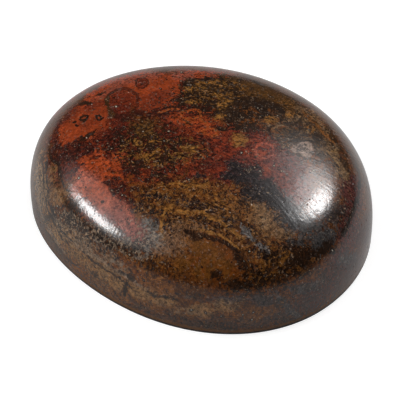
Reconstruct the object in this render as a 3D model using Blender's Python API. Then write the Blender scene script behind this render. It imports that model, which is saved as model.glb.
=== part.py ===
"""A polished oval cabochon of red, ochre and brown agate.

One stone in one solid: a flat sawn base with a small bevelled rim, a steep wall that leans out
a little as it rises, a full round shoulder and a low domed crown. The origin is the centre of
the base, +X runs along the longer axis of the oval and +Z is up. Lengths are in metres.
"""

import math

import bmesh
import bpy
from mathutils import Matrix, Vector

LENGTH = 0.0350  # along X
WIDTH = 0.0300  # along Y
HEIGHT = 0.01045  # from the base to the top of the crown

RIM_BEVEL = 0.00014  # the small bevel that takes the sharpness off the base's edge
WALL_FLARE = 0.0352  # how much wider the stone gets from base to top, as a share of its radius
WALL_FULLNESS = 6.595  # higher makes a steeper wall
SHOULDER_FULLNESS = 2.657  # higher makes a squarer shoulder
CROWN_SHARE = 0.2455  # share of the height that is one even crown over the whole stone
OVAL_FULLNESS = 2.0405  # 2 is a true ellipse, and a little more is fuller between its axes
HAND_CUT_COS = -0.0091  # the outline's three slight swells, left by grinding it by hand
HAND_CUT_SIN = -0.0169

SEGMENTS = 92  # steps round the oval
RINGS = 25  # steps up the side profile, from the rim to the middle of the crown
PROFILE_SAMPLES = 4000  # fine steps that the side profile is measured with
BEND_LENGTH = 0.006  # metres of profile that one radian of bend counts for, in spacing rings

STONE_COLOUR = (0.095, 0.036, 0.014, 1.0)  # between its reds, browns and ochres
STONE_ROUGHNESS = 0.2
SHARP_ANGLE = math.radians(35.0)


def clear_scene() -> None:
    """Remove everything that a new Blender file starts with."""
    for old in list(bpy.data.objects):
        bpy.data.objects.remove(old, do_unlink=True)


def profile_point(angle: float) -> tuple[float, float]:
    """The side profile at an angle from the rim, as a radius and a height in metres."""
    radius = max(math.cos(angle), 0.0) ** (2.0 / WALL_FULLNESS)
    shoulder = math.sin(angle) ** (2.0 / SHOULDER_FULLNESS)
    crown = 1.0 - radius * radius
    rise = (1.0 - CROWN_SHARE) * shoulder + CROWN_SHARE * crown
    return radius * (1.0 + WALL_FLARE * rise) * LENGTH / 2, rise * HEIGHT


def spaced_profile() -> list[Vector]:
    """Points up the side profile, spaced evenly by its length and its bend together."""
    fine = []
    for i in range(PROFILE_SAMPLES + 1):
        left = 1.0 - i / PROFILE_SAMPLES
        fine.append(profile_point(math.pi / 2 * (1.0 - left**3)))
    travelled = [0.0]
    heading = math.pi / 2
    for (r0, z0), (r1, z1) in zip(fine, fine[1:]):
        new_heading = math.atan2(z1 - z0, r1 - r0)
        bend = abs(new_heading - heading)
        travelled.append(travelled[-1] + math.hypot(r1 - r0, z1 - z0) + BEND_LENGTH * bend)
        heading = new_heading
    points = []
    sample = 0
    for ring in range(RINGS):
        while travelled[sample] < travelled[-1] * ring / RINGS:
            sample += 1
        radius, height = fine[sample]
        points.append(Vector((radius, 0.0, height)))
    points.append(Vector((0.0, 0.0, HEIGHT)))
    return points


def turn_stone() -> bmesh.types.BMesh:
    """The side profile spun round the Z axis and closed by a flat base: a round stone."""
    bm = bmesh.new()
    verts = [bm.verts.new(point) for point in spaced_profile()]
    edges = [bm.edges.new(pair) for pair in zip(verts, verts[1:])]
    bmesh.ops.spin(
        bm, geom=verts + edges, cent=(0, 0, 0), axis=(0, 0, 1),
        angle=math.tau, steps=SEGMENTS, use_merge=True,
    )
    bmesh.ops.remove_doubles(bm, verts=bm.verts, dist=1e-6)
    rim = [edge for edge in bm.edges if edge.is_boundary]
    bmesh.ops.contextual_create(bm, geom=rim)
    return bm


def grind_to_oval(bm: bmesh.types.BMesh) -> None:
    """Move each point of the round stone out to the hand-cut oval."""
    for vert in bm.verts:
        radius = math.hypot(vert.co.x, vert.co.y)
        turn = math.atan2(vert.co.y, vert.co.x)
        swell = 1.0 + HAND_CUT_COS * math.cos(3 * turn) + HAND_CUT_SIN * math.sin(3 * turn)
        across, along = math.sin(turn), math.cos(turn)
        power = 2.0 / OVAL_FULLNESS
        vert.co.x = radius * swell * math.copysign(abs(along) ** power, along)
        vert.co.y = radius * swell * math.copysign(abs(across) ** power, across) * WIDTH / LENGTH


def bring_to_size(bm: bmesh.types.BMesh) -> None:
    """Centre the stone on its base's middle and give it its exact length, width and height."""
    lows = [min(vert.co[axis] for vert in bm.verts) for axis in range(3)]
    highs = [max(vert.co[axis] for vert in bm.verts) for axis in range(3)]
    middle = Vector(((lows[0] + highs[0]) / 2, (lows[1] + highs[1]) / 2, lows[2]))
    spans = [high - low for low, high in zip(lows, highs)]
    stretch = Matrix.Diagonal((LENGTH / spans[0], WIDTH / spans[1], HEIGHT / spans[2], 1.0))
    bmesh.ops.transform(bm, matrix=stretch @ Matrix.Translation(-middle), verts=bm.verts)


def bevel_rim(bm: bmesh.types.BMesh) -> None:
    """Take the sharpness off the edge between the wall and the sawn base."""
    base = min(bm.faces, key=lambda face: face.calc_center_median().z)
    bmesh.ops.bevel(
        bm, geom=list(base.edges), offset=RIM_BEVEL, segments=1,
        affect="EDGES", profile=0.5, material=-1,
    )


def make_material() -> bpy.types.Material:
    """Polished stone in the middle of its colours."""
    material = bpy.data.materials.new("polished_agate")
    material.use_nodes = True
    shader = material.node_tree.nodes["Principled BSDF"]
    shader.inputs["Base Color"].default_value = STONE_COLOUR
    shader.inputs["Roughness"].default_value = STONE_ROUGHNESS
    shader.inputs["Metallic"].default_value = 0.0
    return material


def build_cabochon() -> bpy.types.Object:
    """The whole stone, standing on its flat base."""
    bm = turn_stone()
    grind_to_oval(bm)
    bring_to_size(bm)
    bevel_rim(bm)
    bmesh.ops.recalc_face_normals(bm, faces=bm.faces)
    mesh = bpy.data.meshes.new("cabochon")
    bm.to_mesh(mesh)
    bm.free()
    mesh.shade_smooth()
    mesh.set_sharp_from_angle(angle=SHARP_ANGLE)
    mesh.materials.append(make_material())
    stone = bpy.data.objects.new("cabochon", mesh)
    bpy.context.scene.collection.objects.link(stone)
    return stone


clear_scene()
build_cabochon()
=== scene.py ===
"""Dresses the agate cabochon: its polished skin, its pattern of red, ochre and brown, and a
plain studio round it. Lengths are in metres, or in millimetres where a name ends in _mm."""

import logging
import math
import random
from dataclasses import dataclass
from enum import Enum
from typing import Any, Sequence

import bmesh
import bpy
import numpy as np
from mathutils import Matrix, Vector, noise
from mathutils.bvhtree import BVHTree
from mathutils.kdtree import KDTree


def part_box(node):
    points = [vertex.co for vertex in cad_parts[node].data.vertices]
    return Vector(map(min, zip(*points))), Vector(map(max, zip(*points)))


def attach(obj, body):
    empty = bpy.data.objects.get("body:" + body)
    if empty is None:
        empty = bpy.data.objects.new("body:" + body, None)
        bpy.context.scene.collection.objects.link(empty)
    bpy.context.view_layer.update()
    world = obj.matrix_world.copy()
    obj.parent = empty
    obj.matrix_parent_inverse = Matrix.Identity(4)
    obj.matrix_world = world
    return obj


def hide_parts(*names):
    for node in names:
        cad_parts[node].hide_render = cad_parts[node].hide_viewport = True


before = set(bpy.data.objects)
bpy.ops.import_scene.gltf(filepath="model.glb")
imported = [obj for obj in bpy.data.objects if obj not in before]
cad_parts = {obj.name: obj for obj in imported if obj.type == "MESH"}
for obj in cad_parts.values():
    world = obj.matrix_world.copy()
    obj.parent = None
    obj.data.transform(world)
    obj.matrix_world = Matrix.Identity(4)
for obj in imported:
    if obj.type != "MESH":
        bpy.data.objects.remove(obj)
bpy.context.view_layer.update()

METRES_TO_MM = 1000.0
PHOTO_WIDTH = 400
COMBED = math.radians(41.7)  # the way that the fibrous parts of the pattern run, round the Z axis
LEAST_DEPTH = 0.0018  # half the depth that a spot of the pattern has at least

Pixel = tuple[float, float]
Socket = bpy.types.NodeSocket

log = logging.getLogger("cabochon")


@dataclass(frozen=True)
class Viewpoint:
    """Where the photograph was taken from.

    Attributes:
        azimuth: Degrees round the stone, 0 looking along +Y.
        elevation: Degrees above the horizon.
        distance: From the centre to the lens.
        centre: A point in the base's plane, near the base's middle.
        aim_right: How far right of the centre the lens points.
        aim_up: How far above the centre the lens points, square to the view.
        focal_pixels: The lens's focal length in pixels of the photograph.
        sensor_mm: The camera's sensor width.
    """

    azimuth: float = 41.71
    elevation: float = 42.0
    distance: float = 0.29035
    centre: tuple[float, float, float] = (0.000157, -0.000253, 0.0)
    aim_right: float = -0.000245
    aim_up: float = 0.001514
    focal_pixels: float = 2993.3
    sensor_mm: float = 36.0

    def toward(self) -> Vector:
        """The level direction from the stone to the lens."""
        turn = math.radians(self.azimuth)
        return Vector((math.sin(turn), -math.cos(turn), 0.0))

    def right(self) -> Vector:
        """The direction that is right in the photograph."""
        turn = math.radians(self.azimuth)
        return Vector((math.cos(turn), math.sin(turn), 0.0))

    def back(self) -> Vector:
        """The direction from the stone up to the lens."""
        rise = math.radians(self.elevation)
        return self.toward() * math.cos(rise) + Vector((0.0, 0.0, math.sin(rise)))

    def up(self) -> Vector:
        """The direction that is up in the photograph."""
        return self.back().cross(self.right())

    def lens_place(self) -> Vector:
        """Where the lens is."""
        return Vector(self.centre) + self.back() * self.distance

    def pose(self) -> Matrix:
        """The camera's matrix."""
        aim = Vector(self.centre) + self.right() * self.aim_right + self.up() * self.aim_up
        turned = (aim - self.lens_place()).to_track_quat("-Z", "Y")
        return Matrix.Translation(self.lens_place()) @ turned.to_matrix().to_4x4()

    def sight(self, pixel: Pixel) -> Vector:
        """The direction in which the lens sees a pixel of the photograph.

        Args:
            pixel: Its column and row, from the top left corner.

        Returns:
            A unit vector from the lens.
        """
        half = PHOTO_WIDTH / 2
        local = Vector((pixel[0] - half, half - pixel[1], -self.focal_pixels))
        return (self.pose().to_3x3() @ local).normalized()

    def build(self) -> None:
        """Make the camera and set it as the scene's."""
        data = bpy.data.cameras.new("photo_camera")
        data.sensor_width = self.sensor_mm
        data.lens = self.focal_pixels / PHOTO_WIDTH * self.sensor_mm
        data.clip_start = 0.01
        data.clip_end = 20.0
        camera = bpy.data.objects.new("photo_camera", data)
        camera.matrix_world = self.pose()
        bpy.context.scene.collection.objects.link(camera)
        bpy.context.scene.camera = camera


@dataclass(frozen=True)
class Cabochon:
    """The stone's shape: the same profile and outline as its solid, with finer facets.

    Attributes:
        length: Along X.
        width: Along Y.
        height: From the base to the top of the crown.
        rim_bevel: Width of the small bevel round the base.
        wall_flare: How much wider the stone gets from base to top, as a share of its radius.
        wall_fullness: Higher makes a steeper wall.
        shoulder_fullness: Higher makes a squarer shoulder.
        crown_share: Share of the height that is one even crown over the whole stone.
        oval_fullness: 2 is a true ellipse, and a little more is fuller between its axes.
        hand_cut_cos: With the next, the outline's three slight swells, left by hand grinding.
        hand_cut_sin: Their other half.
        sharp_angle: The bend past which an edge counts as the rim.
        segments: Steps round the oval.
        rings: Steps up the side profile.
        base_rings: Where the base's rings lie, as shares of its radius.
        bend_length: Length of profile that one radian of bend counts for, in spacing rings.
        samples: Fine steps that the profile is measured with.
        wave_depth: How far the polished skin departs from its even form.
        wave_length: How far apart its waves are.
        pit_count: How many open pits the polish has left.
        pit_depth: How deep they are.
        pit_face: The shortest edge of the narrowest face that holds a pit.
        pit_step: How finely the pits' widths follow their faces' shortest edges.
        pit_walls: How far in a pit's lip and its floor lie, as shares of the shortest edge.
        seed: What the pits' places are drawn from.
    """

    length: float
    width: float
    height: float
    rim_bevel: float = 0.00014
    wall_flare: float = 0.0352
    wall_fullness: float = 6.595
    shoulder_fullness: float = 2.657
    crown_share: float = 0.2455
    oval_fullness: float = 2.0405
    hand_cut_cos: float = -0.0091
    hand_cut_sin: float = -0.0169
    sharp_angle: float = math.radians(60)
    segments: int = 320
    rings: int = 132
    base_rings: tuple[float, ...] = (0.985, 0.9, 0.7, 0.45, 0.2)
    bend_length: float = 0.006
    samples: int = 6000
    wave_depth: float = 0.000010
    wave_length: float = 0.0045
    pit_count: int = 260
    pit_face: float = 0.00009
    pit_step: float = 0.00001
    pit_walls: tuple[float, float] = (0.22, 0.14)
    pit_depth: float = 0.00005
    seed: int = 7

    def profile_point(self, angle: float) -> tuple[float, float]:
        """A point of the side profile.

        Args:
            angle: From 0 at the rim to a right angle at the crown's middle.

        Returns:
            The point's radius and height.
        """
        radius = max(math.cos(angle), 0.0) ** (2.0 / self.wall_fullness)
        shoulder = math.sin(angle) ** (2.0 / self.shoulder_fullness)
        rise = (1.0 - self.crown_share) * shoulder + self.crown_share * (1.0 - radius**2)
        return radius * (1.0 + self.wall_flare * rise) * self.length / 2, rise * self.height

    def profile(self) -> list[Vector]:
        """The side profile, with its points closer together where it bends.

        Returns:
            Its points from the base's middle out, round the rim and up to the crown's middle.
        """
        fine = []
        for i in range(self.samples + 1):
            left = 1.0 - i / self.samples
            fine.append(self.profile_point(math.pi / 2 * (1.0 - left**3)))
        travelled = [0.0]
        heading = math.pi / 2
        for (r0, z0), (r1, z1) in zip(fine, fine[1:]):
            new_heading = math.atan2(z1 - z0, r1 - r0)
            bend = self.bend_length * abs(new_heading - heading)
            travelled.append(travelled[-1] + math.hypot(r1 - r0, z1 - z0) + bend)
            heading = new_heading
        rim_radius = fine[0][0]
        points = [Vector((0.0, 0.0, 0.0))]
        points += [Vector((rim_radius * share, 0.0, 0.0)) for share in reversed(self.base_rings)]
        sample = 0
        for ring in range(self.rings):
            while travelled[sample] < travelled[-1] * ring / self.rings:
                sample += 1
            points.append(Vector((fine[sample][0], 0.0, fine[sample][1])))
        points.append(Vector((0.0, 0.0, self.height)))
        return points

    def spin(self) -> bmesh.types.BMesh:
        """Spin the profile round the Z axis.

        Returns:
            The mesh of a round stone.
        """
        bm = bmesh.new()
        verts = [bm.verts.new(point) for point in self.profile()]
        edges = [bm.edges.new(pair) for pair in zip(verts, verts[1:])]
        bmesh.ops.spin(
            bm, geom=verts + edges, cent=(0, 0, 0), axis=(0, 0, 1),
            angle=math.tau, steps=self.segments, use_merge=True,
        )
        bmesh.ops.remove_doubles(bm, verts=bm.verts, dist=1e-7)
        return bm

    def grind(self, bm: bmesh.types.BMesh) -> None:
        """Move the round stone's points out to the hand-cut oval, and bring it to size.

        Args:
            bm: The stone's mesh.
        """
        power = 2.0 / self.oval_fullness
        for vert in bm.verts:
            turn = math.atan2(vert.co.y, vert.co.x)
            swell = self.hand_cut_cos * math.cos(3 * turn) + self.hand_cut_sin * math.sin(3 * turn)
            across, along = math.sin(turn), math.cos(turn)
            reach = math.hypot(vert.co.x, vert.co.y) * (1.0 + swell)
            vert.co.x = reach * math.copysign(abs(along) ** power, along)
            vert.co.y = reach * math.copysign(abs(across) ** power, across)
            vert.co.y *= self.width / self.length
        lows = [min(vert.co[axis] for vert in bm.verts) for axis in range(3)]
        highs = [max(vert.co[axis] for vert in bm.verts) for axis in range(3)]
        middle = Vector(((lows[0] + highs[0]) / 2, (lows[1] + highs[1]) / 2, lows[2]))
        scale = [self.length, self.width, self.height]
        for axis in range(3):
            scale[axis] /= highs[axis] - lows[axis]
        sized = Matrix.Diagonal((*scale, 1.0)) @ Matrix.Translation(-middle)
        bmesh.ops.transform(bm, matrix=sized, verts=bm.verts)

    def bevel_rim(self, bm: bmesh.types.BMesh) -> None:
        """Round the edge between the wall and the sawn base.

        Args:
            bm: The stone's mesh.
        """
        bm.normal_update()
        rim = [
            edge for edge in bm.edges
            if len(edge.link_faces) == 2 and edge.calc_face_angle() > self.sharp_angle
        ]
        bmesh.ops.bevel(
            bm, geom=rim, offset=self.rim_bevel, segments=3,
            affect="EDGES", profile=0.5, material=-1,
        )

    def wave(self, bm: bmesh.types.BMesh) -> None:
        """Give the polished skin the faint unevenness that hand polishing leaves.

        Args:
            bm: The stone's mesh.
        """
        for vert in bm.verts:
            if vert.co.z > 2 * self.rim_bevel:
                lift = noise.noise(vert.co / self.wave_length) * self.wave_depth
                vert.co += vert.normal * lift

    def narrow(self, face: bmesh.types.BMFace) -> float:
        """The length of a face's shortest edge."""
        return min(edge.calc_length() for edge in face.edges)

    def pit(self, bm: bmesh.types.BMesh) -> None:
        """Sink small open pits into the polished skin.

        Args:
            bm: The stone's mesh.
        """
        draw = random.Random(self.seed)
        skin = [
            face for face in bm.faces
            if len(face.verts) == 4 and face.calc_center_median().z > 4 * self.rim_bevel
            and self.narrow(face) > self.pit_face
        ]
        places = KDTree(len(skin))
        for index, face in enumerate(skin):
            places.insert(face.calc_center_median(), index)
        places.balance()
        reach = Vector((self.length / 2, self.width / 2, self.height))
        found = {}
        while len(found) < self.pit_count:
            way = Vector((draw.gauss(0.0, 1.0), draw.gauss(0.0, 1.0), abs(draw.gauss(0.0, 1.0))))
            index = places.find(way.normalized() * reach)[1]
            found[index] = skin[index]
        like_sized = {}
        for face in found.values():
            steps = math.floor(self.narrow(face) / self.pit_step)
            like_sized.setdefault(steps, []).append(face)
        for steps, faces in like_sized.items():
            for share, depth in zip(self.pit_walls, (0.0, -self.pit_depth)):
                bmesh.ops.inset_individual(
                    bm, faces=faces, thickness=share * steps * self.pit_step, depth=depth,
                    use_even_offset=True,
                )

    def build(self) -> bpy.types.Object:
        """Make the stone's mesh object.

        Returns:
            The object, at the origin.
        """
        bm = self.spin()
        self.grind(bm)
        bmesh.ops.recalc_face_normals(bm, faces=bm.faces)
        self.bevel_rim(bm)
        bm.normal_update()
        self.wave(bm)
        self.pit(bm)
        bmesh.ops.recalc_face_normals(bm, faces=bm.faces)
        mesh = bpy.data.meshes.new("polished_stone")
        bm.to_mesh(mesh)
        bm.free()
        mesh.shade_smooth()
        stone = bpy.data.objects.new("polished_stone", mesh)
        bpy.context.scene.collection.objects.link(stone)
        return stone


@dataclass
class Bench:
    """One node tree, with short ways to lay shader nodes on it."""

    tree: bpy.types.NodeTree

    def lay(self, kind: str, inputs: dict[Any, Any] | None = None, **settings: Any) -> Any:
        """Place a node.

        Args:
            kind: The node's type name, without its ShaderNode prefix.
            inputs: A value or a socket for each input, by name or by number.
            settings: The node's own properties.

        Returns:
            The node.
        """
        node = self.tree.nodes.new("ShaderNode" + kind)
        for name, value in settings.items():
            setattr(node, name, value)
        for key, value in (inputs or {}).items():
            if isinstance(value, Socket):
                self.tree.links.new(value, node.inputs[key])
            else:
                node.inputs[key].default_value = value
        return node

    def math(self, operation: str, *values: Any, clamp: bool = False) -> Socket:
        """Work on numbers, such as ADD or MULTIPLY.

        Args:
            operation: The Math node's operation.
            values: Its numbers or sockets, in order.
            clamp: Whether the result is held between 0 and 1.

        Returns:
            The result.
        """
        node = self.lay("Math", dict(enumerate(values)), operation=operation, use_clamp=clamp)
        return node.outputs[0]

    def scale(self, vector: Socket, factor: Any) -> Socket:
        """A vector or colour times a factor."""
        return self.lay("VectorMath", {0: vector, "Scale": factor}, operation="SCALE").outputs[0]

    def length(self, value: Socket) -> Socket:
        """A vector's length."""
        return self.lay("VectorMath", {0: value}, operation="LENGTH").outputs["Value"]

    def step(self, value: Socket, low: float, high: float) -> Socket:
        """A smooth step from 0 to 1.

        Args:
            value: What steps.
            low: Where it starts.
            high: Where it ends.

        Returns:
            The stepped value.
        """
        inputs = {"Value": value, "From Min": low, "From Max": high}
        node = self.lay("MapRange", inputs, interpolation_type="SMOOTHSTEP")
        return node.outputs["Result"]

    def mix(self, amount: Any, first: Any, second: Any) -> Socket:
        """Two colours mixed by an amount from 0 to 1."""
        first, second = ((*c, 1.0) if isinstance(c, tuple) else c for c in (first, second))
        return self.lay("Mix", {0: amount, 6: first, 7: second}, data_type="RGBA").outputs[2]

    def noise(self, point: Socket, size: float, detail: float, **more: Any) -> Any:
        """A noise texture.

        Args:
            point: Where it is read, in millimetres.
            size: How far across its lumps are.
            detail: How many finer noises are added.
            more: Its other inputs, by name.

        Returns:
            The node.
        """
        inputs = {"Vector": point, "Scale": 1.0 / size, "Detail": detail}
        inputs.update({name.capitalize(): value for name, value in more.items()})
        return self.lay("TexNoise", inputs)

    def cells(self, point: Socket, size: float, feature: str = "F1") -> Any:
        """The outputs of a cell texture whose cells are about size millimetres across."""
        inputs = {"Vector": point, "Scale": 1.0 / size}
        return self.lay("TexVoronoi", inputs, feature=feature).outputs

    def spread(self, value: Socket, gain: float) -> Socket:
        """A texture's values stretched about their middle, and held between 0 and 1."""
        return self.math("MULTIPLY_ADD", value, gain, 0.5 - gain / 2, clamp=True)

    def body(self, point: Socket, box: "Frame3") -> Socket:
        """The field of an oval body.

        Args:
            point: Where it is read, in millimetres.
            box: The body's place and radii.

        Returns:
            A value that is 1 in the body's middle, a half on its skin and 0 far off.
        """
        inputs = {
            "Vector": point, "Location": box.centre, "Rotation": box.turn,
            "Scale": tuple(2 * radius for radius in box.radii),
        }
        local = self.lay("Mapping", inputs, vector_type="TEXTURE").outputs[0]
        return self.lay("TexGradient", {0: local}, gradient_type="SPHERICAL").outputs["Fac"]


def start_group(name: str, takes: dict[str, str], gives: dict[str, str]) -> tuple[Bench, Any, Any]:
    """Start a shader node group.

    Args:
        name: The group's name.
        takes: Its inputs, each name with Float, Vector or Color.
        gives: Its outputs, in the same way.

    Returns:
        A bench on the group, its input node's sockets and its output node's sockets.
    """
    tree = bpy.data.node_groups.new(name, "ShaderNodeTree")
    for names, way in ((takes, "INPUT"), (gives, "OUTPUT")):
        for socket, kind in names.items():
            tree.interface.new_socket(socket, in_out=way, socket_type="NodeSocket" + kind)
    source, sink = tree.nodes.new("NodeGroupInput"), tree.nodes.new("NodeGroupOutput")
    return Bench(tree), source.outputs, sink.inputs


def drift_group(calm_mm: float, torn_mm: float, bent_mm: float) -> bpy.types.NodeTree:
    """Points moved by noise, so that what is drawn on them gets natural edges.

    Args:
        calm_mm: How far slow noise moves them.
        torn_mm: How far quick noise moves them as well.
        bent_mm: How far another noise moves them instead, for the lace and the pores.

    Returns:
        A group with the calmly moved point, the torn one, and one bent for the lace.
    """
    gives = {"Calm": "Vector", "Torn": "Vector", "Bent": "Vector"}
    bench, taken, given = start_group("Drift", {"Point": "Vector"}, gives)
    pushes = {}
    for name, size, reach, detail in (
        ("Calm", 2.2, calm_mm, 2.0), ("Torn", 0.5, torn_mm, 3.0), ("Bent", 0.55, bent_mm, 2.0),
    ):
        push = bench.noise(taken["Point"], size, detail).outputs["Color"]
        inputs = {0: push, 1: (2 * reach,) * 3, 2: (-reach,) * 3}
        pushes[name] = bench.lay("VectorMath", inputs, operation="MULTIPLY_ADD").outputs[0]
    calm = bench.lay("Mapping", {"Vector": taken["Point"], "Location": pushes["Calm"]}).outputs[0]
    bench.tree.links.new(calm, given["Calm"])
    for name in ("Torn", "Bent"):
        moved = bench.lay("Mapping", {"Vector": calm, "Location": pushes[name]}).outputs[0]
        bench.tree.links.new(moved, given[name])
    return bench.tree


class Grain(Enum):
    """The textures that break up the pattern's edges and mix its tones."""

    CLOUD = "Cloud"
    MOSS = "Moss"
    FINE = "Fine"
    WORM = "Worm"
    STREAK = "Streak"
    FIBRE = "Fibre"
    TOOTH = "Tooth"
    GRIT = "Grit"
    LACE = "Lace"
    BAND = "Band"
    PORE = "Pore"
    SPECK = "Speck"
    GLINT = "Glint"


def grain_group() -> bpy.types.NodeTree:
    """Every texture of the pattern, each from 0 to 1, from points in millimetres.

    Returns:
        A group with an output for each grain, and Gritty, which is the grit about 0.
    """
    gives = {grain.value: "Float" for grain in Grain}
    gives["Gritty"] = "Float"
    bench, taken, given = start_group("Grains", {"Point": "Vector", "Bent": "Vector"}, gives)
    point, bent = taken["Point"], taken["Bent"]
    cloud = bench.noise(point, 2.6, 3.0, roughness=0.55).outputs["Fac"]
    moss = bench.noise(point, 0.95, 5.0, roughness=0.68, distortion=0.5).outputs["Fac"]
    fine = bench.noise(point, 0.28, 3.0, roughness=0.6).outputs["Fac"]
    worm = bench.noise(point, 1.3, 3.0, roughness=0.6, distortion=0.9).outputs["Fac"]
    worm = bench.math("ABSOLUTE", bench.math("SUBTRACT", worm, 0.5))
    stretched = bench.lay("Mapping", {
        "Vector": point, "Rotation": (0.3, 0.2, math.radians(38)), "Scale": (0.28, 1.3, 1.0),
    }).outputs[0]
    streak = bench.noise(stretched, 0.8, 4.0, roughness=0.6).outputs["Fac"]
    combed = bench.lay("Mapping", {
        "Vector": point, "Rotation": (0.0, 0.0, -COMBED), "Scale": (1.0, 0.16, 0.5),
    }).outputs[0]
    fibre = bench.noise(combed, 0.42, 4.0, roughness=0.65).outputs["Fac"]
    tooth = bench.noise(point, 0.27, 4.0, roughness=0.85, distortion=0.3).outputs["Fac"]
    grit = bench.noise(point, 0.24, 2.0, roughness=0.7, distortion=0.8).outputs["Fac"]
    band = bench.noise(point, 1.1, 3.5, roughness=0.62, distortion=0.2).outputs["Fac"]
    band = bench.math("PINGPONG", bench.math("MULTIPLY", band, 4.5), 0.5)
    lace = bench.cells(bent, 0.62, "DISTANCE_TO_EDGE")["Distance"]
    pore = bench.cells(bent, 0.34)["Distance"]
    # Specks, some with a pale core: the specks are partly dark grains and partly painted shade of pits,
    # and the cores are painted glints.
    cells = bench.cells(point, 0.66)
    draws = bench.lay("SeparateColor", {0: cells["Color"]}).outputs
    reach = bench.math("MULTIPLY", bench.math("POWER", draws[0], 2.2), 0.34)
    speck = bench.math("SUBTRACT", reach, cells["Distance"])
    core = bench.math("MULTIPLY_ADD", reach, 0.55, -0.01)
    core = bench.math("MULTIPLY", core, bench.math("GREATER_THAN", draws[1], 0.4))
    glint = bench.math("SUBTRACT", core, cells["Distance"])
    values = {
        Grain.CLOUD: bench.spread(cloud, 2.6),
        Grain.MOSS: bench.spread(moss, 2.8),
        Grain.FINE: bench.spread(fine, 2.6),
        Grain.WORM: bench.math("MULTIPLY_ADD", worm, -9.0, 1.0, clamp=True),
        Grain.STREAK: bench.spread(streak, 2.8),
        Grain.FIBRE: bench.spread(fibre, 2.8),
        Grain.TOOTH: bench.spread(tooth, 4.6),
        Grain.GRIT: bench.spread(grit, 3.0),
        Grain.LACE: bench.math("MULTIPLY_ADD", lace, -4.5, 1.0, clamp=True),
        Grain.BAND: bench.spread(bench.math("MULTIPLY", band, 2.0), 1.4),
        Grain.PORE: bench.math("MULTIPLY_ADD", pore, -2.0, 1.3, clamp=True),
        Grain.SPECK: bench.math("MULTIPLY_ADD", speck, 9.0, 0.5, clamp=True),
        Grain.GLINT: bench.math("MULTIPLY_ADD", glint, 12.0, 0.5, clamp=True),
    }
    for grain, value in values.items():
        bench.tree.links.new(value, given[grain.value])
    gritty = bench.math("SUBTRACT", values[Grain.GRIT], 0.5)
    bench.tree.links.new(gritty, given["Gritty"])
    return bench.tree


@dataclass(frozen=True)
class Frame3:
    """A place and a turned box, in millimetres, as a Mapping node takes them."""

    centre: tuple[float, float, float]
    turn: tuple[float, float, float]
    radii: tuple[float, float, float]


def framed(centre: Vector, sides: Sequence[Vector]) -> Frame3:
    """The box of three sides round a centre, brought to square sides of the same oval.

    Args:
        centre: The middle, in metres.
        sides: Three half sides, in metres, which need not be square to each other.

    Returns:
        The box whose oval is the one that the three sides give.
    """
    axes, sizes, _ = np.linalg.svd(np.array([list(side) for side in sides]).T)
    if np.linalg.det(axes) < 0:
        axes[:, 2] *= -1
    turn = Matrix(axes.tolist()).to_euler("XYZ")
    mm = METRES_TO_MM
    return Frame3(tuple(centre * mm), tuple(turn), tuple(float(size) * mm for size in sizes))


@dataclass
class Skin:
    """The stone's surface, on which the photograph's pixels are found."""

    tree: BVHTree
    view: Viewpoint

    @classmethod
    def of(cls, stone: bpy.types.Object, view: Viewpoint) -> "Skin":
        """The skin of a stone as the lens sees it.

        Args:
            stone: The stone's object.
            view: Where the photograph was taken from.

        Returns:
            The skin.
        """
        bm = bmesh.new()
        bm.from_mesh(stone.data)
        tree = BVHTree.FromBMesh(bm)
        bm.free()
        return cls(tree, view)

    def find(self, pixel: Pixel) -> tuple[Vector, Vector]:
        """The point of the skin that a pixel shows, and its normal.

        Args:
            pixel: Its column and row in the photograph.

        Returns:
            The point in metres, and the unit normal.

        Raises:
            ValueError: The pixel doesn't show the stone.
        """
        point, normal, _, _ = self.tree.ray_cast(self.view.lens_place(), self.view.sight(pixel))
        if point is None:
            raise ValueError(f"pixel {pixel} is off the stone")
        return point, normal

    def on_plane(self, pixel: Pixel, point: Vector, normal: Vector) -> Vector:
        """Where a pixel's line of sight meets the plane that touches the skin at a point."""
        start, sight = self.view.lens_place(), self.view.sight(pixel)
        return start + sight * ((point - start).dot(normal) / sight.dot(normal))


class Body:
    """A part of the stone that a layer of the pattern fills."""

    def boxes(self, skin: Skin) -> list[Frame3]:
        """The boxes that it fills, found on the skin."""
        raise NotImplementedError

    def shaped(self, bench: Bench, field: Socket) -> Socket:
        """The field as this kind of body has it."""
        return field


@dataclass(frozen=True)
class Spot(Body):
    """An oval body of one mineral, where the skin cuts it.

    Attributes:
        at: The pixel of the photograph that shows its middle.
        wide: Half its length in the photograph, in pixels.
        tall: Half its breadth, in pixels.
        turn: Degrees that its length rises to the right.
    """

    at: Pixel
    wide: float
    tall: float
    turn: float = 0.0

    def boxes(self, skin: Skin) -> list[Frame3]:
        """The box that it fills, as deep into the stone as it is long.

        Args:
            skin: The surface that it is found on.

        Returns:
            The one box.
        """
        point, normal = skin.find(self.at)
        turn = math.radians(self.turn)
        along = (self.wide * math.cos(turn), -self.wide * math.sin(turn))
        across = (self.tall * math.sin(turn), self.tall * math.cos(turn))
        sides = []
        for step in (along, across):
            ahead = skin.on_plane((self.at[0] + step[0], self.at[1] + step[1]), point, normal)
            sides.append(ahead - point)
        depth = max(LEAST_DEPTH, max(side.length for side in sides))
        return [framed(point, [*sides, normal * depth])]


@dataclass(frozen=True)
class Ring(Spot):
    """The shell of an oval body.

    Attributes:
        band: Half its thickness, as a share of the body's radius.
    """

    band: float = 0.2

    def shaped(self, bench: Bench, field: Socket) -> Socket:
        """The field of the shell instead of the whole body's."""
        off = bench.math("ABSOLUTE", bench.math("MULTIPLY_ADD", field, 2.0, -1.0))
        return bench.math("MULTIPLY_ADD", off, -0.5 / self.band, 1.0, clamp=True)


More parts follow.
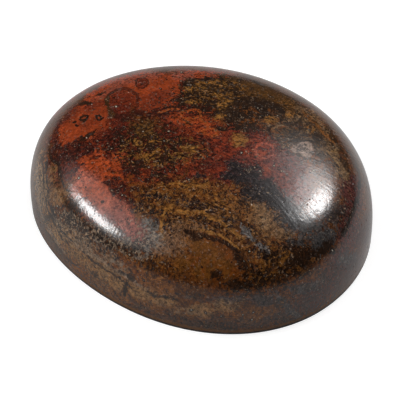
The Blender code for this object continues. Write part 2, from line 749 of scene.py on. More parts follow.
@dataclass(frozen=True)
class Vein(Body):
    """A vein that runs through pixels of the photograph.

    Attributes:
        path: The pixels.
        half: Half its width in the photograph, in pixels.
        depth_mm: Half its depth into the stone.
        overlap: Each stretch's length, where 1 would just touch the next.
        swell: Each stretch's width, as a share of the vein's.
    """

    path: tuple[Pixel, ...]
    half: float
    depth_mm: float = 1.2
    overlap: float = 1.35
    swell: float = 1.1

    def boxes(self, skin: Skin) -> list[Frame3]:
        """The boxes that its stretches fill, each a little longer than its stretch.

        Args:
            skin: The surface that they are found on.

        Returns:
            A box for each stretch.
        """
        found = [skin.find(pixel) for pixel in self.path]
        pixel_size = skin.view.distance / skin.view.focal_pixels
        made = []
        for (start, normal), (end, next_normal) in zip(found, found[1:]):
            out = (normal + next_normal).normalized()
            along = (end - start) / 2
            across = along.cross(out).normalized() * self.half * pixel_size
            deep = out * self.depth_mm / METRES_TO_MM
            made.append(framed(start + along, [along * self.overlap, across * self.swell, deep]))
        return made


@dataclass(frozen=True)
class Lump(Body):
    """An oval body on a side that the photograph doesn't show.

    Attributes:
        at: Its middle, in millimetres.
        radii: Half its sizes along X, Y and Z, in millimetres.
        turn: Degrees that it is turned about Z.
    """

    at: tuple[float, float, float]
    radii: tuple[float, float, float]
    turn: float = 0.0

    def boxes(self, skin: Skin) -> list[Frame3]:
        """The box that it fills."""
        return [Frame3(self.at, (0.0, 0.0, math.radians(self.turn)), self.radii)]


class Tone(Enum):
    """The stone's colours, and the white of its painted glints, as linear red, green and blue."""

    BRICK = (0.205, 0.034, 0.009)
    EMBER = (0.275, 0.043, 0.010)
    ROSE = (0.300, 0.084, 0.050)
    BLOOD = (0.092, 0.014, 0.006)
    WINE = (0.044, 0.009, 0.005)
    MAROON = (0.085, 0.026, 0.022)
    OCHRE = (0.105, 0.040, 0.008)
    GOLD = (0.245, 0.108, 0.022)
    HONEY = (0.150, 0.056, 0.010)
    OLIVE = (0.052, 0.024, 0.007)
    RUST = (0.140, 0.038, 0.005)
    BROWN = (0.062, 0.022, 0.006)
    UMBER = (0.028, 0.011, 0.004)
    SOOT = (0.008, 0.005, 0.004)
    SLATE = (0.020, 0.018, 0.020)
    STEEL = (0.062, 0.058, 0.056)
    ASH = (0.125, 0.115, 0.102)
    BUFF = (0.190, 0.118, 0.064)
    TAN = (0.215, 0.116, 0.060)
    FAWN = (0.210, 0.140, 0.108)
    # Painted highlight white: used only for the painted glints.
    GLINT_WHITE = (0.500, 0.450, 0.390)


@dataclass(frozen=True)
class Layer:
    """One step of the pattern, painted over those before it.

    Attributes:
        name: What it is.
        tones: Its two colours.
        parts: The bodies and veins that it shows in, or none for the whole stone.
        cover: Most that its parts' fields count for. Under 0.5 it shows only in the grain.
        grain: The texture that frays its edge.
        fray: How much of that texture is added to the field.
        grit: How much of the finest texture is added to it.
        soft: Half the width of its edge, as a share of the field.
        blend: The texture that mixes its tones.
        strength: How much it hides.
    """

    name: str
    tones: tuple[Tone, Tone]
    parts: tuple[Body, ...] = ()
    cover: float = 1.0
    grain: Grain = Grain.MOSS
    fray: float = 0.6
    grit: float = 0.4
    soft: float = 0.2
    blend: Grain = Grain.FINE
    strength: float = 0.85


GROUND = (
    Layer(
        "umber clouds", (Tone.UMBER, Tone.BROWN), cover=0.43, fray=0.5, grit=0.25, soft=0.08,
        strength=1.0,
    ),
    Layer(
        "ochre clouds", (Tone.OCHRE, Tone.RUST), cover=0.34, grain=Grain.STREAK, fray=0.5, grit=0.12,
        soft=0.14, strength=1.0,
    ),
    Layer(
        "rust lens", (Tone.RUST, Tone.BROWN),
        (Spot((214, 262), 30, 25, -50),),
        fray=0.12, grit=0.12, soft=0.1, blend=Grain.FIBRE, strength=1.0,
    ),
    Layer(
        "glow in the lens", (Tone.HONEY, Tone.RUST),
        (
            Spot((203, 250), 16, 10, -40), Spot((224, 268), 12, 8, -60), Spot((204, 272), 14, 8, 0),
            Spot((182, 262), 12, 8, 0),
        ),
        cover=0.62, grain=Grain.FIBRE, grit=0.12, blend=Grain.CLOUD, strength=0.7,
    ),
    Layer(
        "honey field", (Tone.HONEY, Tone.BROWN),
        (
            Spot((262, 215), 26, 14, -45), Spot((238, 203), 18, 8, -10), Spot((276, 228), 16, 10, -35),
            Spot((195, 187), 22, 6, -5), Spot((170, 205), 14, 10, 20), Spot((170, 240), 22, 15, 10),
            Spot((225, 215), 22, 10, -30), Spot((265, 262), 8, 14, -20), Spot((306, 246), 10, 4, 0),
        ),
        fray=0.45, grit=0.25, soft=0.14,
    ),
    Layer(
        "striated buff", (Tone.BUFF, Tone.HONEY),
        (Spot((272, 222), 21, 13, -25), Spot((286, 232), 12, 7, -20), Spot((260, 208), 11, 6, -20)),
        cover=0.86, grain=Grain.FIBRE, grit=0.35, blend=Grain.FIBRE, strength=0.78,
    ),
    # Partly the stone's brown, partly painted reflection: a tan veil of reflected light laid on as
    # colour over the lower dome.
    Layer(
        "tan veil", (Tone.TAN, Tone.BROWN),
        (Spot((167, 240), 20, 14, 10), Spot((176, 226), 14, 8, 10), Spot((200, 228), 16, 4, -15)),
        cover=0.7, grain=Grain.FINE, strength=0.7,
    ),
    Layer(
        "fibres", (Tone.UMBER, Tone.BROWN),
        (
            Spot((262, 222), 30, 20, -40), Spot((170, 240), 24, 16, 10), Spot((214, 262), 30, 24, -50),
            Spot((195, 187), 24, 8, -5),
        ),
        cover=0.4, grain=Grain.FIBRE, fray=0.45, grit=0.12, strength=0.6,
    ),
    Layer(
        "dark shoulder", (Tone.UMBER, Tone.SOOT),
        (
            Spot((300, 258), 24, 17, 10), Spot((268, 252), 16, 8, -50), Spot((322, 247), 16, 10, 50),
            Spot((262, 278), 14, 9, 20), Spot((252, 232), 10, 6, -40), Spot((240, 285), 16, 5, 0),
        ),
        grit=0.25, soft=0.14,
    ),
    Layer(
        "ochre sparks in the dark", (Tone.OCHRE, Tone.HONEY),
        (
            Spot((316, 262), 6, 4, 30), Spot((316, 274), 7, 3, 10), Spot((300, 268), 10, 4, 20),
            Spot((284, 257), 6, 6), Spot((330, 250), 5, 3, 40), Spot((275, 266), 6, 6),
        ),
        cover=0.54, fray=0.8, soft=0.08, strength=0.75,
    ),
    Layer(
        "maroon flank", (Tone.MAROON, Tone.WINE),
        (
            Spot((351, 233), 16, 12, 60), Spot((352, 207), 22, 9, 80), Spot((340, 254), 12, 7, 40),
            Spot((352, 187), 14, 9, 70),
        ),
        grain=Grain.CLOUD, fray=0.3, grit=0.2, soft=0.18, strength=0.95,
    ),
    Layer(
        "slate shoulder", (Tone.SLATE, Tone.UMBER),
        (
            Spot((308, 226), 22, 12, -20), Spot((322, 238), 18, 8, 20), Spot((334, 213), 14, 12, 0),
            Spot((294, 206), 13, 9, -20),
        ),
        cover=0.8, fray=0.65, blend=Grain.GRIT, strength=0.9,
    ),
    Layer(
        "dull grey in the slate", (Tone.STEEL, Tone.SLATE),
        (
            Spot((306, 226), 20, 10, -30), Spot((322, 237), 16, 7, 20), Spot((302, 240), 14, 5, 10),
            Spot((288, 210), 10, 6, -30),
        ),
        cover=0.7, soft=0.16, blend=Grain.MOSS, strength=0.8,
    ),
    Layer(
        "mauve wall", (Tone.MAROON, Tone.UMBER),
        (Spot((345, 270), 24, 14, 42), Spot((318, 296), 30, 12, 35), Spot((366, 232), 20, 6, 70)),
        cover=0.8, fray=0.5, grit=0.3, strength=0.7,
    ),
    Layer(
        "grey seam", (Tone.STEEL, Tone.SLATE),
        (
            Spot((347, 260), 10, 7, 30), Spot((305, 288), 12, 6, 15), Spot((280, 298), 9, 4, -45),
            Spot((289, 308), 12, 4, -45), Spot((298, 317), 10, 3, -40), Spot((262, 300), 14, 6, 0),
            Spot((225, 300), 22, 4, 5),
        ),
        cover=0.66, grain=Grain.STREAK, grit=0.3, strength=0.7,
    ),
    Layer(
        "blue streaks", (Tone.ASH, Tone.STEEL),
        (
            Vein(((277, 296), (284, 303), (291, 312), (300, 319)), 2.4), Spot((302, 289), 7, 3, 15),
            Spot((346, 259), 6, 4, 30), Spot((187, 297), 6, 3, 0), Spot((318, 283), 8, 3, 30),
        ),
        cover=0.6, grit=0.3, strength=0.4,
    ),
    Layer(
        "grey wall", (Tone.STEEL, Tone.UMBER),
        (
            Spot((170, 314), 60, 7, -14), Spot((240, 324), 60, 7, 6), Spot((38, 205), 34, 6, -80),
            Spot((60, 252), 24, 5, -45),
        ),
        cover=0.6, grain=Grain.STREAK, fray=0.5, soft=0.25, strength=0.5,
    ),
    Layer(
        "tan wall", (Tone.TAN, Tone.BUFF),
        (
            Spot((64, 240), 40, 12, -48), Spot((106, 276), 40, 13, -35), Spot((40, 190), 34, 9, -84),
            Spot((150, 296), 30, 9, -20), Spot((190, 312), 30, 5, -8),
        ),
        cover=0.86, fray=0.8, soft=0.16, strength=0.92,
    ),
    Layer(
        "dark blotches in the wall", (Tone.UMBER, Tone.SOOT),
        (
            Spot((110, 275), 60, 14, -35), Spot((200, 308), 60, 16, -5), Spot((290, 305), 50, 16, 22),
            Spot((50, 220), 40, 14, -65),
        ),
        cover=0.38, fray=0.85, soft=0.1, strength=0.75,
    ),
    Layer(
        "rust on the wall", (Tone.HONEY, Tone.RUST),
        (
            Spot((90, 269), 16, 9, -35), Spot((70, 248), 12, 6, -40), Spot((122, 290), 18, 8, -25),
            Spot((150, 287), 20, 9, -15), Spot((160, 302), 26, 8, -15), Spot((200, 311), 26, 7, -5),
            Spot((105, 278), 18, 8, -30), Spot((250, 314), 24, 7, 5), Spot((75, 262), 14, 7, -45),
        ),
        cover=0.56, fray=0.8, grit=0.35, soft=0.15,
    ),
    Layer(
        "orange patches in the wall", (Tone.TAN, Tone.GOLD),
        (
            Spot((88, 262), 9, 5, -35), Spot((74, 251), 8, 4, -45), Spot((101, 272), 8, 5, -30),
            Spot((118, 284), 9, 4, -30), Spot((140, 293), 10, 4, -20), Spot((166, 301), 12, 4, -12),
            Spot((58, 236), 6, 5, -50), Spot((196, 310), 12, 4, -5), Spot((232, 305), 14, 5, 5),
        ),
        cover=0.7, grain=Grain.CLOUD, fray=0.7, soft=0.16, strength=0.6,
    ),
    Layer(
        "pod shadows", (Tone.UMBER, Tone.SOOT),
        (
            Spot((53, 171), 8, 15, 5), Spot((58, 198), 11, 14, 10), Spot((67, 192), 7, 8),
            Spot((50, 214), 8, 9, 20), Spot((75, 222), 12, 6, -40),
        ),
        cover=0.6, grit=0.3, soft=0.15, strength=0.75,
    ),
    Layer(
        "ochre pods", (Tone.HONEY, Tone.BUFF),
        (
            Spot((53, 171), 5, 11, 5), Spot((57, 197), 8, 10, 10), Spot((67, 192), 4, 5),
            Spot((47, 210), 4, 5), Spot((50, 228), 4, 5), Spot((92, 269), 9, 4, -35),
            Spot((72, 250), 6, 3, -40),
        ),
        fray=0.35, grit=0.3, soft=0.14,
    ),
    Layer(
        "pale bands in the wall", (Tone.BUFF, Tone.ASH),
        (
            Vein(((90, 250), (106, 263), (130, 279), (142, 286)), 2.2),
            Vein(((38, 158), (37, 178), (38, 198), (43, 217), (52, 236), (64, 252)), 2.0),
            Vein(((56, 222), (68, 238), (80, 248), (96, 256)), 2.6), Spot((110, 258), 14, 4, -30),
            Spot((84, 244), 12, 4, -25),
        ),
        cover=0.7, strength=0.6,
    ),
    Layer(
        "dark bands in the wall", (Tone.UMBER, Tone.SOOT),
        (
            Vein(((44, 152), (43, 172), (44, 192), (48, 210), (56, 228), (66, 242)), 1.4),
            Vein(((36, 205), (42, 222), (52, 240), (64, 256), (80, 268)), 1.0),
            Vein(((84, 253), (100, 266), (118, 278), (134, 290)), 1.3),
            Vein(((147, 292), (158, 297), (170, 297), (180, 303)), 1.5), Spot((38.5, 217), 1.6, 1.6),
            Spot((120, 272), 4, 2, -30), Spot((96, 276), 4, 2, -40),
        ),
        fray=0.55, soft=0.16, strength=0.8,
    ),
)

HIDDEN = (
    Layer(
        "far reds", (Tone.BRICK, Tone.BLOOD),
        (
            Lump((-17.0, 1.0, 5.5), (3.0, 6.5, 3.6)), Lump((-14.0, 8.5, 6.5), (4.0, 3.5, 2.6), 40),
            Lump((-1.0, 14.5, 3.2), (4.5, 2.6, 2.0)), Lump((7.6, 13.6, 4.5), (2.6, 2.6, 2.0), -25),
        ),
        grain=Grain.CLOUD, fray=0.45, grit=0.15, soft=0.12, blend=Grain.MOSS, strength=1.0,
    ),
    Layer(
        "far embers", (Tone.EMBER, Tone.ROSE),
        (
            Lump((-16.6, -1.5, 6.4), (2.4, 2.6, 1.4)), Lump((-15.4, 5.6, 5.0), (2.6, 2.4, 1.4)),
            Lump((-2.0, 14.6, 3.6), (2.4, 2.0, 1.0)),
        ),
        grit=0.2, soft=0.14, strength=0.8,
    ),
    Layer(
        "far black", (Tone.SOOT, Tone.UMBER),
        (
            Lump((-16.8, 3.0, 2.4), (2.8, 5.5, 1.3)), Lump((-9.0, 12.4, 4.0), (4.5, 2.6, 3.0), 30),
            Lump((6.5, 13.6, 5.0), (4.5, 2.4, 2.2), -20), Lump((-12.0, 10.4, 2.2), (3.5, 2.4, 1.4), 40),
        ),
        cover=0.62, fray=0.65, soft=0.12, strength=0.92,
    ),
    Layer(
        "far moss", (Tone.OCHRE, Tone.GOLD),
        (
            Lump((-8.4, 13.0, 5.6), (5.0, 2.6, 1.8), 30), Lump((8.0, 13.0, 3.0), (5.5, 2.4, 1.4), -25),
            Lump((-17.2, 0.0, 2.6), (2.4, 4.5, 1.0)), Lump((2.0, 14.8, 6.2), (5.0, 2.2, 1.4)),
        ),
        cover=0.42, grit=0.5, soft=0.12, strength=0.9,
    ),
    Layer(
        "far grey", (Tone.STEEL, Tone.TAN),
        (
            Lump((3.6, 14.6, 1.6), (6.0, 2.2, 0.9)), Lump((-13.6, 9.2, 0.9), (5.0, 2.4, 0.8), 40),
            Lump((9.6, 12.4, 6.4), (2.6, 2.2, 1.0), -30),
        ),
        cover=0.6, grain=Grain.STREAK, strength=0.6,
    ),
)

REDS = (
    Layer(
        "red body", (Tone.BLOOD, Tone.WINE),
        (
            Spot((95, 135), 52, 40, 25), Spot((150, 148), 70, 34), Spot((215, 150), 58, 32, -10),
            Spot((103, 195), 36, 28, -40), Spot((262, 157), 42, 30, -30), Spot((128, 226), 20, 14, -40),
            Spot((180, 95), 60, 26), Spot((288, 178), 26, 17, -40),
        ),
        fray=0.32, grit=0.12, soft=0.08, blend=Grain.MOSS, strength=1.0,
    ),
    Layer(
        "brick", (Tone.BRICK, Tone.EMBER),
        (
            Spot((112, 92), 44, 13, 28), Spot((88, 120), 26, 17, 40), Spot((66, 132), 14, 8, 55),
            Spot((148, 92), 34, 18), Spot((160, 84), 20, 16), Spot((168, 100), 12, 10),
            Spot((205, 74), 32, 4, -2),
        ),
        grain=Grain.CLOUD, fray=0.22, grit=0.12, soft=0.09, blend=Grain.CLOUD, strength=1.0,
    ),
    Layer(
        "dusky rim", (Tone.ROSE, Tone.WINE),
        (
            Spot((118, 85), 22, 4, 28), Spot((182, 73), 16, 5, 2), Spot((145, 77), 22, 4, 12),
            Spot((228, 71), 26, 3, -4),
        ),
        grain=Grain.CLOUD, fray=0.5, grit=0.12, strength=0.5,
    ),
    Layer(
        "blood shadows", (Tone.BLOOD, Tone.WINE),
        (
            Spot((112, 112), 30, 14, 20), Spot((140, 110), 16, 8, 10), Spot((160, 100), 12, 8, 0),
            Spot((70, 115), 12, 5, 45),
        ),
        cover=0.5, grain=Grain.CLOUD, grit=0.1, blend=Grain.MOSS, strength=0.6,
    ),
    Layer(
        "ember lobes", (Tone.EMBER, Tone.BRICK),
        (
            Spot((96, 167), 16, 9, 20), Spot((120, 161), 9, 9), Spot((112, 178), 13, 8),
            Spot((101, 150), 8, 5, 30), Spot((84, 160), 9, 5, 20),
        ),
        fray=0.4, grit=0.08, soft=0.08, blend=Grain.MOSS, strength=1.0,
    ),
    # Partly the stone's red, partly painted sheen: the pink is the broad glow round the left highlight,
    # laid on as colour.
    Layer(
        "rose", (Tone.ROSE, Tone.EMBER),
        (
            Spot((100, 194), 27, 12, -45), Spot((126, 220), 18, 9, -48), Spot((80, 186), 10, 12, -60),
            Spot((137, 239), 8, 6, -50),
        ),
        fray=0.4, grit=0.12, soft=0.16, blend=Grain.CLOUD, strength=0.9,
    ),
    # Partly painted sheen too: the lower end of the painted pink dulled to mauve.
    Layer(
        "mauve end of the rose", (Tone.MAROON, Tone.ROSE),
        (Spot((138, 234), 16, 12, -48), Spot((122, 222), 12, 8, -48), Spot((106, 212), 10, 5, -48)),
        cover=0.8, grain=Grain.CLOUD, fray=0.5, grit=0.15, soft=0.25, strength=0.8,
    ),
    Layer(
        "red clouds", (Tone.BRICK, Tone.BLOOD),
        (
            Spot((204, 126), 30, 12, -10), Spot((196, 140), 20, 9, 10), Spot((150, 172), 26, 8, -5),
            Spot((175, 165), 20, 6, 12), Spot((228, 150), 22, 7, 8), Spot((262, 166), 30, 8, -28),
            Spot((226, 172), 24, 4, 5), Spot((186, 176), 24, 4, 4), Spot((262, 150), 14, 13),
            Spot((285, 180), 22, 9, -38),
        ),
        cover=0.5, fray=0.65, grit=0.08, soft=0.15, blend=Grain.MOSS, strength=0.9,
    ),
    Layer(
        "bright red clouds", (Tone.EMBER, Tone.BRICK),
        (
            Spot((196, 118), 20, 8, -5), Spot((208, 130), 14, 5, 5), Spot((252, 158), 14, 5, 20),
            Spot((268, 172), 20, 6, -30), Spot((150, 178), 18, 4, 5), Spot((190, 160), 16, 5, 15),
        ),
        cover=0.5, grain=Grain.WORM, fray=0.45, grit=0.08, soft=0.15, strength=0.65,
    ),
    Layer(
        "purple haze", (Tone.MAROON, Tone.BLOOD),
        (
            Spot((290, 186), 20, 13, -40), Spot((270, 181), 14, 9, -30), Spot((283, 164), 16, 9, -20),
            Spot((248, 160), 16, 7, 0),
        ),
        cover=0.7, grain=Grain.CLOUD, grit=0.2, soft=0.25, strength=0.75,
    ),
    Layer(
        "dark mottle in the red", (Tone.WINE, Tone.SOOT),
        (
            Spot((230, 128), 40, 16, -15), Spot((190, 150), 50, 22), Spot((110, 145), 50, 16, 10),
            Spot((270, 150), 30, 20, -30), Spot((150, 190), 30, 12), Spot((150, 112), 40, 8),
        ),
        cover=0.36, grain=Grain.FINE, fray=0.5, grit=0.1, soft=0.12, blend=Grain.CLOUD,
    ),
    Layer(
        "dark hem", (Tone.WINE, Tone.SOOT),
        (
            Spot((75, 150), 22, 9, 20), Spot((120, 137), 26, 8, 25), Spot((150, 114), 26, 5, 12),
            Spot((115, 184), 10, 9, 0), Spot((57, 150), 5, 12, -10), Spot((140, 195), 20, 8, -10),
            Spot((165, 178), 22, 4, 0), Spot((131, 170), 8, 10, 20),
        ),
        cover=0.56, fray=0.65, grit=0.15, soft=0.12, strength=0.9,
    ),
    Layer(
        "orb", (Tone.BLOOD, Tone.BLOOD),
        (Spot((122, 101), 12.5, 12, 20), Spot((142, 83), 6, 4.5)),
        fray=0.08, grit=0.03, soft=0.12, blend=Grain.CLOUD, strength=0.75,
    ),
    Layer(
        "orb shell", (Tone.WINE, Tone.SOOT),
        (
            Ring((122, 101), 15.5, 14, 20, band=0.13), Ring((142, 83), 7, 5, band=0.16),
            Spot((133, 115), 13, 4, 25),
        ),
        fray=0.3, grit=0.05, soft=0.16, blend=Grain.CLOUD, strength=0.65,
    ),
    Layer(
        "green crescent", (Tone.OLIVE, Tone.UMBER),
        (Vein(((108, 96), (107, 103), (109, 111), (114, 116)), 1.8),),
        fray=0.3, grit=0.12, soft=0.15, blend=Grain.CLOUD, strength=0.7,
    ),
)

OCHRES = (
    Layer(
        "olive field", (Tone.OLIVE, Tone.UMBER),
        (
            Spot((203, 90), 23, 12, 0), Spot((232, 90), 26, 16, -20), Spot((262, 96), 26, 16, -22),
            Spot((295, 112), 32, 14, -38), Spot((325, 142), 24, 15, -50), Spot((224, 106), 11, 12),
            Spot((340, 166), 14, 8, -62), Spot((298, 138), 20, 12, -35),
        ),
        fray=0.4, grit=0.2, soft=0.08, strength=1.0,
    ),
    Layer(
        "dark moss bed", (Tone.SOOT, Tone.UMBER),
        (
            Spot((203, 97), 26, 15), Spot((150, 148), 30, 20, -20), Spot((182, 150), 18, 12),
            Spot((230, 108), 18, 15), Spot((262, 108), 24, 12, -25), Spot((290, 125), 20, 12, -35),
        ),
        cover=0.62, grit=0.45, soft=0.12, strength=0.92,
    ),
    Layer(
        "olive caps", (Tone.OLIVE, Tone.OCHRE),
        (
            Spot((143, 127), 15, 7, 8), Spot((208, 84), 14, 5, 0), Spot((256, 90), 20, 7, -18),
            Spot((222, 98), 9, 12), Spot((285, 104), 16, 6, -35), Spot((190, 148), 8, 4),
        ),
        fray=0.5, grit=0.3, soft=0.16,
    ),
    Layer(
        "ochre moss", (Tone.OCHRE, Tone.GOLD),
        (
            Spot((206, 89), 18, 7), Spot((224, 100), 11, 17, 10), Spot((224, 83), 16, 5, -8),
            Spot((147, 146), 17, 14, -25), Spot((182, 150), 16, 9), Spot((298, 112), 20, 6, -40),
        ),
        cover=0.27, grain=Grain.LACE, fray=0.35, grit=0.5, soft=0.1, strength=0.95,
    ),
    Layer(
        "muted moss", (Tone.TAN, Tone.OLIVE),
        (
            Spot((292, 134), 26, 13, -35), Spot((328, 150), 16, 9, -55), Spot((342, 174), 9, 5, -68),
            Spot((310, 118), 16, 7, -40),
        ),
        cover=0.56, fray=0.65, grit=0.45, soft=0.14, strength=0.92,
    ),
    Layer(
        "gold moss clumps", (Tone.GOLD, Tone.OCHRE),
        (
            Spot((208, 86), 12, 3), Spot((222, 100), 6, 13, 10), Spot((226, 84), 12, 3, -8),
            Vein(((138, 154), (146, 158), (156, 158), (160, 152)), 2.0), Spot((184, 152), 14, 5),
            Spot((137, 146), 6, 8),
        ),
        cover=0.38, fray=0.75, grit=0.5, soft=0.12, strength=0.7,
    ),
    Layer(
        "black hem", (Tone.SOOT, Tone.UMBER),
        (
            Vein(((180, 98), (181, 88), (187, 82), (202, 80), (215, 77), (227, 81), (233, 87)), 2.8),
            Vein(((240, 80), (250, 79), (262, 86)), 2.0), Spot((187, 95), 7, 3),
            Spot((195, 108), 12, 3), Spot((211, 103), 8, 5), Spot((249, 104), 10, 4, -10),
            Spot((237, 116), 12, 6), Spot((246, 126), 12, 5), Spot((222, 128), 8, 3),
            Spot((262, 110), 9, 4, -20), Spot((280, 108), 8, 3, -40),
        ),
        cover=0.8, fray=0.7, soft=0.12, strength=0.95,
    ),
    Layer(
        "gold spots", (Tone.GOLD, Tone.OCHRE),
        (
            Spot((190, 89), 5, 2.5), Spot((194, 102), 8, 2.5), Spot((212, 82), 8, 2),
            Spot((220, 117), 6, 2.5), Spot((270, 120), 7, 4, -10), Spot((239, 140), 7, 6.5),
            Spot((290, 115), 4, 4), Spot((310, 130), 6, 3, -40), Spot((220, 104), 3, 5),
            Spot((147, 156), 8, 2, 5), Spot((157, 150), 4, 2, 30), Spot((150, 141), 5, 1.6, 10),
        ),
        grain=Grain.FINE, fray=0.5, soft=0.12, blend=Grain.GRIT, strength=0.95,
    ),
    Layer(
        "orange band", (Tone.HONEY, Tone.RUST),
        (Vein(((302, 112), (312, 121), (322, 131), (332, 141)), 3.0), Spot((306, 130), 5, 3, -30)),
        fray=0.5, grit=0.3, strength=0.65,
    ),
    Layer(
        "shadow under the grey", (Tone.UMBER, Tone.SOOT),
        (
            Spot((304, 149), 12, 9, 10), Spot((288, 136), 12, 6, -20), Spot((318, 140), 9, 5, -40),
            Spot((296, 128), 12, 4, -30), Spot((322, 160), 9, 7, -40),
        ),
        cover=0.52, fray=0.7, soft=0.12,
    ),
    Layer(
        "fawn patch", (Tone.FAWN, Tone.FAWN),
        (Spot((299, 148), 7, 6, 5), Spot((306, 150), 7.5, 7, 5), Spot((303, 145), 9, 3.4, 0)),
        grain=Grain.FINE, fray=0.12, grit=0.12, soft=0.06, blend=Grain.CLOUD, strength=0.92,
    ),
    Layer(
        "lid of the patch", (Tone.SOOT, Tone.UMBER),
        (Vein(((296, 141), (312, 142)), 1.1),),
        fray=0.2, grit=0.2, soft=0.12, blend=Grain.CLOUD,
    ),
    Layer(
        "scratches", (Tone.BUFF, Tone.GOLD),
        (
            Vein(((329, 152), (336, 160), (342, 169)), 0.9), Vein(((333, 149), (340, 157)), 0.8),
            Spot((334, 151), 3, 2), Spot((306, 131), 4, 2, -30),
        ),
        fray=0.3, grit=0.2, strength=0.8,
    ),
    Layer(
        "pink shell", (Tone.ROSE, Tone.EMBER),
        (Ring((264, 150), 9, 8, 0, band=0.12),),
        grain=Grain.FINE, fray=0.7, grit=0.2, soft=0.16, strength=0.6,
    ),
    Layer(
        "ember loops", (Tone.EMBER, Tone.HONEY),
        (
            Vein((
                (181, 112), (190, 109), (199, 110), (201, 116), (192, 119), (184, 118), (181, 112),
            ), 1.7),
            Vein(((201, 131), (207, 128), (215, 129), (216, 134), (209, 136), (201, 131)), 1.6),
            Vein(((160, 112), (170, 109), (180, 110)), 1.5),
            Vein(((200, 117), (205, 123), (208, 128)), 1.5),
        ),
        grain=Grain.FINE, fray=0.35, grit=0.2, soft=0.18, strength=0.9,
    ),
    # Painted reflection: a dark line down the right shoulder, standing in for the dark gap between
    # floor and lights seen in the polish.
    Layer(
        "dark rim line", (Tone.UMBER, Tone.SOOT),
        (
            Vein((
                (347, 150), (355, 161), (360, 176), (359, 192), (356, 204), (350, 219), (342, 235),
            ), 2.2),
        ),
        fray=0.3, grit=0.12, soft=0.15, blend=Grain.CLOUD, strength=0.9,
    ),
)

